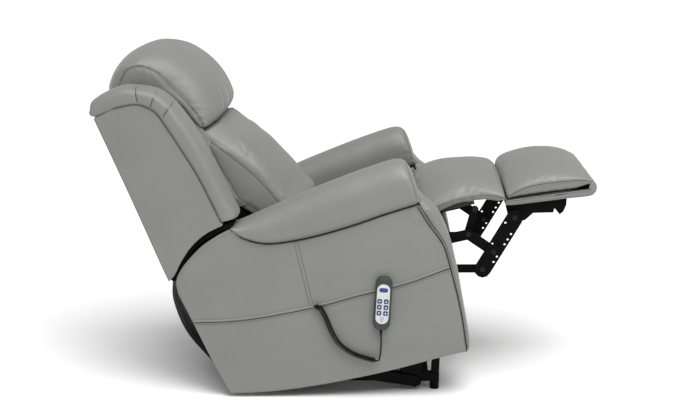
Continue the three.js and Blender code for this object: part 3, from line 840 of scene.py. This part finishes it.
HEAD_SEAM = [(250, 884), (243, 903), (263, 957), (291, 1010), (329, 1079), (375, 1118), (416, 1124),
             (440, 1111), (464, 1081)]
HEAD_CROWN = [(209, 889), (182, 915), (173, 949), (185, 1016), (216, 1078), (272, 1136), (338, 1165),
              (387, 1169), (441, 1156), (488, 1122), (518, 1083)]
HEAD_BACK = [(540, 1044), (440, 1062), (352, 1046), (300, 990), (262, 900)]
HEAD_SEAM_BACK = [(500, 1050), (430, 1052), (352, 1040), (300, 985), (262, 896)]


def make_head_cushion():
    """A boxed bolster: crowned face, side gussets, soft upright creases in front."""
    face, across = 90, 101
    seam, crown = spline(HEAD_SEAM, face), spline(HEAD_CROWN, face)
    back, seam_back = spline(HEAD_BACK, 40)[1:-1], spline(HEAD_SEAM_BACK, 40)[1:-1]
    t = np.linspace(0, 1, face)
    out = crown - (360, 1000)
    out /= np.linalg.norm(out, axis=1)[:, None]
    rings = []
    for u in 0.6 * np.sin(np.linspace(-1, 1, across) * np.pi / 2) + np.linspace(-0.4, 0.4, across):
        x, rise = u * 250, (1 - abs(u) ** 3.0) ** 0.6
        crease = 2.2 * waves(np.full(face, x), 51, 62, 4) * np.exp(-((t - 0.12) / 0.2) ** 2)
        crease += 1.4 * waves(x * 0.3 + 160 * t, 53, 120) * abs(u) ** 2
        front = seam + (crown - seam) * rise + out * (crease * rise)[:, None]
        rear = seam_back + (back - seam_back) * rise
        ring = np.vstack([front, rear])
        rings.append(level(np.full(len(ring), x), ring[:, 0], ring[:, 1]))
    cushion = inflate(close_with_gussets("head_cushion", rings, 8, 34), 5)
    seams = {side: line_at(side * 252, HEAD_SEAM, face) for side in (1, -1)}
    for path in seams.values():
        sink(cushion, path, 2.6, 3.2, 0.9, 34, 26, 54)
    for u in (-0.72, -0.45, -0.1, 0.2, 0.5, 0.75):
        low = spline([(214, 893), (188, 912), (178, 940), (182, 975)], 20)
        x = 250 * u + 10 * np.sin(np.linspace(0, 2, 20) + 9 * u)
        sink(cushion, level(x, low[:, 0], low[:, 1]), 2.2, 8.0)
    skin, parts = surface(cushion), [cushion]
    for side, path in seams.items():
        raised("head_seam", path, 0.9, SEAM, parts, skin, -0.2)
        for shift in (0.06, -0.05):
            line = seam + (crown - seam) * shift
            beside = level(np.full(face, side * (250 if shift > 0 else 256)), line[:, 0], line[:, 1])
            stitches("head_stitch", beside[3:-3], SEAM, parts, skin, 0.2, 4.2, 3, 0.8)
    finish_piece(join("head_cushion", parts), "backrest", ["head_cushion"])


def close_with_gussets(name, rings, bulge, reach):
    """Closes a loft of rings at both ends with side gussets that swell outwards by bulge mm."""
    rings = [np.asarray(r) for r in rings]
    for end in (0, -1):
        edge = rings[end]
        centre = edge.mean(0)
        extra = []
        for f in np.linspace(1 / 14, 1, 14):
            ring = edge + (centre - edge) * (f * 0.97)
            gap = np.linalg.norm(edge - ring, axis=1) * 1000
            ring[:, 0] += np.sign(centre[0]) * bulge * np.sin(np.pi / 2 * np.clip(gap / reach, 0, 1)) / 1000
            extra.append(ring)
        rings = (extra[::-1] + rings) if end == 0 else (rings + extra)
    return loft(name, rings, LEATHER)


LUMBAR_LOWER = [(44, 524), (62, 570), (87, 626), (113, 679), (143, 727), (185, 783), (229, 834),
                (266, 880)]
LUMBAR_UPPER = [(14, 524), (32, 570), (56, 626), (79, 669), (103, 721), (134, 766), (171, 807),
                (212, 846), (247, 880)]
LUMBAR_CREASE = [(16, 524), (40, 566), (67, 615), (102, 691), (152, 801), (208, 892)]
LUMBAR_CENTRE = [(8, 522), (-12, 556), (-18, 592), (5, 634), (27, 682), (50, 721), (75, 764),
                 (99, 800), (129, 835), (157, 860), (200, 894)]
LUMBAR_BACK = [(118, 522), (168, 588), (212, 642), (246, 745), (278, 892)]
CREASE_X = 168                 # where the crowned middle meets the bolsters
LUMBAR_HALF = 246


def make_lumbar_cushion():
    """The back cushion: a stitched side band, a bolster that tapers downwards, a crowned middle."""
    rows = 100
    low, up, crease, mid, back = (spline(p, rows) for p in (
        LUMBAR_LOWER, LUMBAR_UPPER, LUMBAR_CREASE, LUMBAR_CENTRE, LUMBAR_BACK))
    rings = []
    for i, t in enumerate(np.linspace(0, 1, rows)):
        forward = (mid[i] - back[i]) / np.linalg.norm(mid[i] - back[i])
        puff = 19 * ease((t - 0.1) / 0.5)
        x = np.linspace(0, LUMBAR_HALF, 66)
        f = np.clip((x - CREASE_X) / (LUMBAR_HALF - CREASE_X), 0, 1)[:, None]
        middle = mid[i] + (crease[i] - mid[i]) * (np.clip(x / CREASE_X, 0, 1)[:, None]) ** 2.3
        front = np.where(f > 0, crease[i] + (up[i] - crease[i]) * f, middle)
        soft = puff * np.sin(np.pi * f[:, 0]) ** 0.9 + 1.3 * waves(x * 0.4 + t * 330, 61, 140)
        front = front + forward * soft[:, None]
        g = np.linspace(0, 1, 12)[1:, None]
        band = up[i] + (low[i] - up[i]) * g
        side = low[i] + (back[i] - low[i]) * g
        right = np.vstack([np.c_[x, front], np.c_[LUMBAR_HALF + 2 * g, band],
                           np.c_[LUMBAR_HALF + 2 + 1.5 * np.sin(np.pi * g) - 2 * g ** 2, side]])
        ring = np.vstack([right, right[::-1][:-1] * (-1, 1, 1)])
        rings.append(level(ring[:, 0], ring[:, 1], ring[:, 2]))
    cushion = inflate(loft("lumbar_cushion", rings, LEATHER), 3)
    welts = []
    for side in (1, -1):
        paths = [level(np.full(rows, side * x), line[:, 0], line[:, 1])[a:]
                 for x, line, a in ((LUMBAR_HALF + 2, low, 8), (LUMBAR_HALF, up, 8), (CREASE_X, crease, 24))]
        for path, depth, width, gather in zip(paths, (1.6, 0.8, 4.0), (3, 3, 7), (0.5, 0.4, 0.5)):
            sink(cushion, path, depth, width, gather, 34, 22, 64)
        welts.append(paths)
    skin, parts = surface(cushion), [cushion]
    for low_path, up_path, crease_path in welts:
        raised("band_seam", low_path, 0.8, SEAM, parts, skin)
        raised("panel_seam", crease_path, 0.8, SEAM, parts, skin)
        stitches("band_stitch", low_path + (0, -0.006, 0.003), SEAM, parts, skin, 0.2, 4, 3, 0.7)
    finish_piece(join("lumbar_cushion", parts), "backrest", ["lumbar_cushion"])


# ---- seat and legrest pads -------------------------------------------------------------
def pillow(name, low, seam, crown, half, span, seed):
    """A crowned pad over y: a flat underside, a short side band up to the seam, a domed top."""
    lines = [spline(points, 240) for points in (low, seam, crown)]
    rings = []
    for y in span[0] + (span[1] - span[0]) * spaced(90, 0.6):
        bottom, edge, top = (np.interp(y, line[:, 0], line[:, 1]) for line in lines)
        edge = min(edge, top - 1)
        bottom = min(bottom, edge - 2)
        u = np.sin(np.linspace(0, 1, 34) * np.pi / 2)
        drape = 1.2 * waves(y * 0.5 + u * half * 0.8, seed, 170) * (1 - u ** 4)
        dome = edge + (top - edge) * np.clip(1 - u ** 2, 0, 1) ** 0.78 + drape
        f = np.linspace(0, 1, 8)[1:]
        g = np.linspace(1, 0, 12)[1:]
        x = np.r_[u * half, half + 2.5 * np.sin(np.pi * f), g * half]
        z = np.r_[dome, edge + (bottom - edge) * f, np.full(11, bottom)]
        x, z = np.r_[x, -x[-2:0:-1]], np.r_[z, z[-2:0:-1]]
        rings.append(level(x, y, z))
    return loft(name, rings, LEATHER)


CHAISE_SEAM = [(-611, 452), (-580, 467), (-547, 479), (-504, 485), (-461, 488), (-414, 480), (-345, 462)]
CHAISE_LOW = [(y, z - 13) for y, z in CHAISE_SEAM]
CHAISE_TOP = [(-611, 498), (-606, 516), (-594, 529), (-552, 546), (-504, 558), (-455, 567), (-413, 568),
              (-374, 562), (-345, 550)]
FOOT_SEAM = [(-887, 438), (-863, 449), (-808, 461), (-744, 470), (-701, 472), (-655, 467), (-612, 452)]
FOOT_LOW = [(-887, 421), (-864, 424), (-808, 432), (-744, 440), (-655, 447), (-612, 449)]
FOOT_TOP = [(-887, 442), (-884, 458), (-868, 474), (-845, 496), (-808, 516), (-760, 530), (-716, 536),
            (-669, 536), (-631, 531), (-617, 520), (-612, 495)]
SEAT_LOW = [(-345, 450), (125, 410)]
SEAT_SEAM = [(-346, 500), (-200, 512), (60, 480), (126, 452)]
SEAT_TOP = [(-346, 520), (-338, 552), (-310, 562), (-200, 552), (-70, 530), (60, 508), (116, 488), (126, 458)]
BOARD = [(-611, 447), (-612, 431), (-700, 419), (-790, 409), (-858, 400), (-878, 402), (-889, 412),
         (-893, 426), (-890, 438), (-883, 441), (-877, 436), (-871, 428), (-862, 423), (-780, 431),
         (-700, 439)]


def make_pad(name, low, seam, crown, half, span, gather, seed):
    """A pad with a piped seam along both sides and gathers beside it."""
    pad = inflate(pillow(name, low, seam, crown, half, span, seed), 6)
    paths = [line_at(side * half, seam, 90) for side in (1, -1)]
    for path in paths:
        sink(pad, path, 1.8, 3.0, gather, 30, 24, seed + 3)
    skin, parts = surface(pad), [pad]
    for path in paths:
        raised("pad_seam", path, 0.8, SEAM, parts, skin)
        raised("pad_welt", path - (0, 0, 0.004), 1.4, LEATHER, parts, skin, 0.3)
        stitches("pad_stitch", path + (0, 0, 0.006), SEAM, parts, skin, 0.2, 4, 3, 0.5)
    return join(name, parts)


def make_pads():
    seat = make_pad("seat_cushion", SEAT_LOW, SEAT_SEAM, SEAT_TOP, 246, (-346, 126), 1.0, 80)
    finish_piece(seat, "seat_unit", ["seat_cushion"])
    foot = make_pad("footrest_pad", FOOT_LOW, FOOT_SEAM, FOOT_TOP, 248, (-886, -612), 0.9, 95)
    finish_piece(foot, "footrest", ["footrest_pad"])
    tuple(level(0, -750, 430))
    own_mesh(foot)
    chaise = make_pad("chaise_pad", CHAISE_LOW, CHAISE_SEAM, CHAISE_TOP, 246, (-610, -345), 2.6, 90)
    tuple(level(0, -360, 510))
    tuple(level(0, -470, 500))
    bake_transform(chaise)
    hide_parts("chaise_pad")
    make_head_cushion()
    make_lumbar_cushion()


def make_foot_board():
    """The upholstered board under the foot pad, piped where the two meet."""
    ends = [(-247, 3), (-246, 0.8), (-244, 0), (244, 0), (246, 0.8), (247, 3)]
    parts = [prism("footrest_board", BOARD, ends, LEATHER)]
    line = [(-613, 448.5), (-700, 440), (-790, 431), (-872, 422)]
    for side in (1, -1):
        raised("board_seam", line_at(side * 248, line, 60), 1.2, SEAM, parts)
        raised("board_welt", line_at(side * 247.4, line, 60, dz=-3.4), 2.0, LEATHER, parts)
    finish_piece(join("footrest_board", parts), "footrest", ["footrest_board"])


def make_apron():
    """The dark leather flap that hangs behind the seat unit."""
    n = 60
    rows = spline([(466, 452), (485, 379), (470, 271), (413, 148)], n)
    across = np.linspace(-236, 236, n)
    verts = []
    for depth in (0, -2.2):
        for i, (y, z) in enumerate(rows):
            wave = 1.5 * math.sin(i / 9) * np.cos(across / 90) + waves(across, 77, 170)
            verts += list(level(across, y + wave + depth, z))
    behind, rim = n * n, grid_rim(n, n)
    faces = grid_faces(n, n) + [face[::-1] for face in grid_faces(n, n, behind)]
    faces += [(b, a, a + behind, b + behind) for a, b in zip(rim, rim[1:] + rim[:1])]
    flap = mesh_object("rear_apron", verts, faces, LEATHER_SHADE)
    finish_piece(flap, "seat_unit", ["rear_apron"])


# ---- handset and cord ------------------------------------------------------------------
HANDSET_AT = (-404, -100, 310)
HANDSET_SIZE = (52, 166, 23)
HANDSET_LEAN = math.radians(3.4)
KEY_PITCH = (20, 18.5)
KEY_TOP = 9
KEYS = [(row, column) for row in range(3) for column in range(2)]


def handset_points(u, v, w):
    """Across, up and out from the handset's back, in millimetres, to the row frame."""
    x, y, z = HANDSET_AT
    u, v, w = np.broadcast_arrays(np.asarray(u, float), np.asarray(v, float), np.asarray(w, float))
    dy = -u * math.cos(HANDSET_LEAN) - v * math.sin(HANDSET_LEAN)
    dz = -u * math.sin(HANDSET_LEAN) + v * math.cos(HANDSET_LEAN)
    return np.stack([x - w, y - CENTRE_Y + dy, z + dz], -1) / 1000


def rounded_rectangle(half_u, half_v, radius, count=14):
    points = []
    for cu, cv, start in ((1, 1, 0), (-1, 1, 90), (-1, -1, 180), (1, -1, 270)):
        for k in range(count):
            a = math.radians(start + 90 * k / (count - 1))
            points.append((cu * (half_u - radius) + radius * math.cos(a),
                           cv * (half_v - radius) + radius * math.sin(a)))
    return np.array(points)


def stacked(name, outline, layers, material, centre=(0, 0)):
    """A moulded piece: the outline inset and lifted layer by layer, (inset mm, height mm)."""
    size = np.abs(outline).max(0)
    rings = []
    for inset, height in layers:
        p = outline * (1 - inset / size) + centre
        rings.append(handset_points(p[:, 0], p[:, 1], height))
    return loft(name, rings, material)


def make_handset():
    half_u, half_v, depth = HANDSET_SIZE[0] / 2, HANDSET_SIZE[1] / 2, HANDSET_SIZE[2]
    shape = rounded_rectangle(half_u, half_v, 22)
    layers = [(6, 0.2), (2, 0.8), (0.4, 3), (0, 8), (0.1, 12.6), (0.9, 12.9), (0.9, 13.5), (0.1, 13.8),
              (0.2, 17), (1.2, 20.5), (3.2, 22.4), (5.5, 22.9)]
    shell = stacked("handset_shell", shape, layers, HOUSING)
    front = [(0, depth - 1), (0, depth + 0.2), (0.5, depth + 0.5), (1.2, depth + 0.6)]
    plate = stacked("handset_plate", rounded_rectangle(19.5, 62, 18.5), front, FACEPLATE)
    sink_wells([shell, plate], depth)
    badge = stacked("handset_badge", rounded_rectangle(13.5, 7.0, 6.9),
                    [(0, depth + 0.4), (0.3, depth + 0.9)], PRINT_BLUE, (0, 44))
    steps = np.linspace(0, 1, 40)
    relief_path = handset_points(0, -half_v + 3 - 21 * steps, 11)
    thickness = 0.0048 - 0.002 * steps + 0.0004 * np.sin(9 * np.pi * steps)
    relief = tube("handset_relief", relief_path, thickness, RUBBER, 16)
    body = join("handset_body", [shell, plate, badge, relief, ring_symbol(-45, depth + 0.7)])
    finish_piece(body, "handset", ["handset"])
    for row, column in KEYS:
        make_key(row, column, depth)


def key_centre(row, column):
    return (column - 0.5) * KEY_PITCH[0], KEY_TOP - row * KEY_PITCH[1]


def sink_wells(pieces, depth):
    """Cuts the six square wells the keys travel in."""
    shape, layers = rounded_rectangle(7.0, 7.0, 2.5, 6), [(0, depth - 3.4), (0, depth + 3)]
    cutter = join("wells", [stacked("well", shape, layers, KEY, key_centre(*key)) for key in KEYS])
    for piece in pieces:
        cut = piece.modifiers.new("wells", "BOOLEAN")
        cut.object, cut.solver = cutter, "EXACT"
        bpy.context.view_layer.objects.active = piece
        bpy.ops.object.modifier_apply(modifier="wells")
        piece.data.set_sharp_from_angle(angle=math.radians(30))
    bpy.data.objects.remove(cutter)


def ring_symbol(v, height):
    """A small plain ring over a bar, printed in red near the handset's lower end."""
    turn = np.linspace(0, 2 * np.pi, 40)
    circle = handset_points(4.5 * np.cos(turn), v + 4.5 * np.sin(turn), height)
    ring = tube("ring", circle, 0.0006, PRINT_RED, 5)
    bar = tube("bar", handset_points([-4, 0, 4], v - 8, height), 0.0007, PRINT_RED, 5)
    return join("symbol", [ring, bar])


def make_key(row, column, depth):
    """A square key with a raised arrow that points up or down."""
    centre, name = key_centre(row, column), f"key_{row + 1}_{column + 1}"
    layers = [(0, depth - 1.9), (0, depth + 1.4), (0.35, depth + 1.9), (1.0, depth + 2.1),
              (3.0, depth + 2.15)]
    key = stacked(name, rounded_rectangle(6.7, 6.7, 2.4, 8), layers, KEY, centre)
    way = 1 if column else -1
    arrow = np.array([(-3.0, -1.8 * way), (3.0, -1.8 * way), (0, 2.8 * way)]) + centre
    ends = [handset_points(arrow[:, 0], arrow[:, 1], depth + h) for h in (2.0, 2.4)]
    glyph = loft("glyph", ends, PRINT_WHITE)
    glyph.data.shade_flat()
    node = f"button_{row + 1}_{column + 1}"
    finish_piece(join(name, [key, glyph]), node, [node])


COIL = [(110, 300), (91, 293), (75, 266), (55, 217), (33, 181), (-1, 154), (-40, 138), (-82, 127)]
WIRE = 4.6                     # thickness of the cord itself
COIL_PITCH = 6.5               # from one turn to the next
COIL_RADIUS = 6.4              # middle of the curl to middle of the cord


def make_cord():
    """The handset's curly cord: a helix out of the pocket, then a straight lead to the handset."""
    guide = spline([(-414.5, y, z) for y, z in COIL], 700)
    travel = np.r_[0, np.cumsum(np.linalg.norm(np.diff(guide, axis=0), axis=1))]
    turns = int(travel[-1] / COIL_PITCH)
    at = np.linspace(0, travel[-1], turns * 16)
    centre = np.stack([np.interp(at, travel, guide[:, k]) for k in range(3)], -1)
    heading = np.gradient(centre, axis=0)
    heading /= np.linalg.norm(heading, axis=1)[:, None]
    out = np.array([-1.0, 0, 0])
    side = np.cross(heading, out)
    angle = np.linspace(0, turns * 2 * np.pi, len(at))
    radius = COIL_RADIUS * ease(np.minimum(at, travel[-1] - at) / 9)
    helix = centre + radius[:, None] * (np.cos(angle)[:, None] * out + np.sin(angle)[:, None] * side)
    lead = spline([tuple(helix[-1]), (-413.5, -89, 130), (-414, -93, 148), (-415, -95.5, 178),
                   (-415, -95, 204), (-415, -94.2, 214)], 40)[1:]
    path = (np.vstack([helix, lead]) - (0, CENTRE_Y, 0)) / 1000
    cord = tube("handset_cord", path, WIRE / 2000, RUBBER, 8)
    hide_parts("handset_cord", "handset_lead")
    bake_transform(cord)


# ---- steelwork -------------------------------------------------------------------------
STEEL_NODES = [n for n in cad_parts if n.startswith((
    "base_", "lift_arm", "carriage_", "mechanism_", "leg_", "footrest_bracket", "back_bracket",
    "back_cross", "lift_motor", "back_motor"))]
BRIGHT_NODES = ["lift_rod", "back_rod"]
TIMBER_NODES = ["seat_deck", "flap_board"]
F1, F2 = (-367.2, 368.8), (-333.5, 286.0)
P2, P3, P4, P5, P6 = (-490.1, 248.6), (-472.1, 367.4), (-536.3, 295.9), (-624.3, 386.0), (-510.0, 436.0)
RIVETS = ((F1, 234.3, 252.4, "seat_unit"), (F2, 247.3, 252.4, "seat_unit"),     # pivot, from x, to x, body
          (P4, 234.5, 247.0, "drive_links"), (P2, 228.0, 247.0, "long_links"),
          (P5, 241.0, 247.0, "long_links"), (P5, 221.5, 227.5, "long_links"),
          (P3, 234.5, 240.5, "drive_links"), (P3, 215.0, 221.0, "drive_links"),
          (P6, 215.0, 221.0, "flap_links"))


def make_steelwork():
    for nodes, material, edge in ((STEEL_NODES, BLACK, 0.0009), (BRIGHT_NODES, ZINC, 0.0008),
                                  (TIMBER_NODES, TIMBER, 0.0015)):
        for node in nodes:
            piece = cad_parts[node]
            piece.data.materials.clear()
            piece.data.materials.append(material)
            bevel(piece, edge)
    for _, side in SIDES:
        for rivet in RIVETS:
            make_rivet(side, *rivet)


def make_rivet(side, pivot, near, far, body):
    """A shouldered rivet with domed heads through a link pivot."""
    dome = 1.8 if body == "seat_unit" else 0.3
    profile = [(0, near - 0.3), (6, near - 0.25), (8.4, near - 0.05), (4.9, near), (4.9, far),
               (8.4, far + 0.05), (7.6, far + 0.5 * dome), (4.5, far + 0.9 * dome), (0, far + dome)]
    turn = np.linspace(0, 2 * np.pi, 20, endpoint=False)
    rings = []
    for radius, x in profile:
        r = max(radius, 0.2)
        rings.append(level(side * x, pivot[0] + r * np.cos(turn), pivot[1] + r * np.sin(turn)))
    name = f"rivet_{body}_{int(near)}_{int(-pivot[0])}_{'l' if side > 0 else 'r'}"
    finish_piece(loft(name, rings, RIVET), body)


make_camera()
make_studio()
make_cord()
make_handset()
make_arms()
make_wings()
make_outside_back()
make_back_core()
make_pads()
make_foot_board()
make_apron()
make_steelwork()
